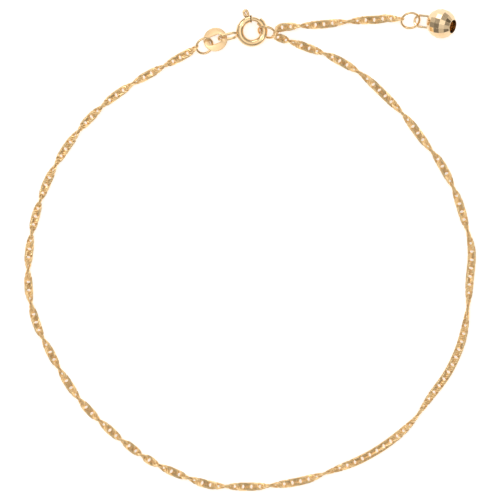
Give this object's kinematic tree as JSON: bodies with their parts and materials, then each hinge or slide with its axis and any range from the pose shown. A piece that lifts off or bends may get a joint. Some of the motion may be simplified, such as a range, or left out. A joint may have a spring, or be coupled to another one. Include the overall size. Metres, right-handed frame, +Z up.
{
  "type": "chain anklet",
  "caption": "Fine twisted gold chain anklet with a spring-ring clasp, a bare oval tag and a short extender ending in a faceted ball.",
  "frame": {"origin": "middle of the anklet's outline, on the surface that it lies on", "axes": "+Z up from the surface, +Y towards the clasp, +X along the clasp's side towards the extender's ball"},
  "size_m": [0.0748, 0.0797, 0.005],
  "materials": {
    "chain_gold": "diamond-cut 14k yellow gold links",
    "ring_gold": "polished 14k yellow gold wire",
    "tag_gold": "satin brushed 14k yellow gold",
    "clasp_gold": "polished 14k yellow gold tube",
    "ball_gold": "faceted and polished 14k yellow gold"
  },
  "bodies": {
    "anklet": {"main_chain": "chain_gold", "extender_chain": "chain_gold", "chain_ring": "ring_gold", "tag": "tag_gold", "clasp_body": "clasp_gold", "catch_ring": "ring_gold", "extender_ring": "ring_gold", "end_ball": "ball_gold"},
    "trigger": {"clasp_trigger": "clasp_gold"}
  },
  "joints": [
    {"name": "trigger_pull", "type": "hinge", "parent": "anklet", "child": "trigger", "pos_m": [0.00031, 0.03616, 0.0012], "axis": [0, 0, 1], "range_deg": [0, 36], "stiffness_Nm_per_rad": 0.001}
  ]
}
